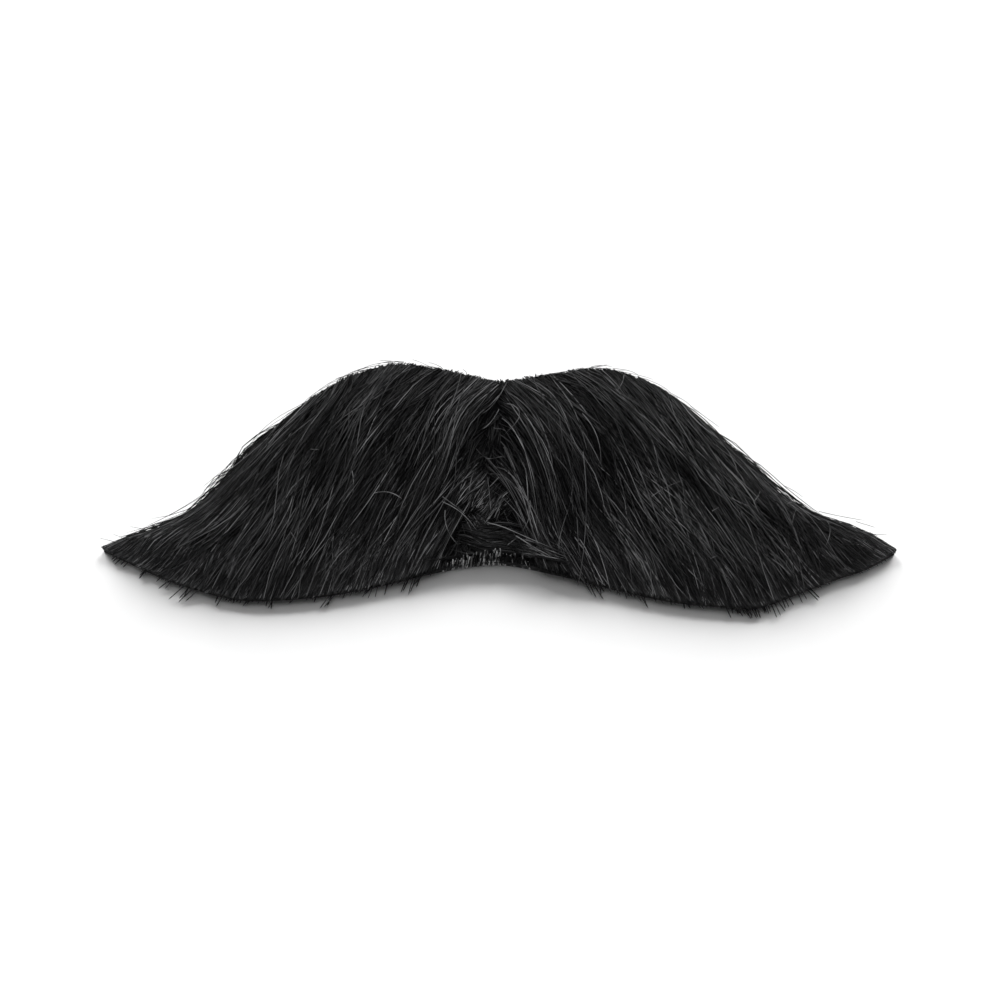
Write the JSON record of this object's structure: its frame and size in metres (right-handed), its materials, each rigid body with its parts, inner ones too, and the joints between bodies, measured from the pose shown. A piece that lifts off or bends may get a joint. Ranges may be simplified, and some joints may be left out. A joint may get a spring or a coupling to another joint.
{
  "type": "fake moustache",
  "caption": "Stick-on costume moustache of long black faux fur on a flat knit backing, parted in the middle, with two wings that taper to points.",
  "frame": {"origin": "middle of the footprint's bounding box, on the surface that the backing lies on", "axes": "+X from the left wing's tip to the right wing's, +Y towards the nose edge, +Z out of the pile"},
  "size_m": [0.14, 0.0542, 0.0095],
  "materials": {
    "ground_fabric": "matt knit",
    "pile_hair": "combed long pile with a satin sheen"
  },
  "bodies": {
    "root": {"backing": "ground_fabric", "left_pile": "pile_hair", "right_pile": "pile_hair", "centre_tuft": "pile_hair"}
  },
  "joints": []
}
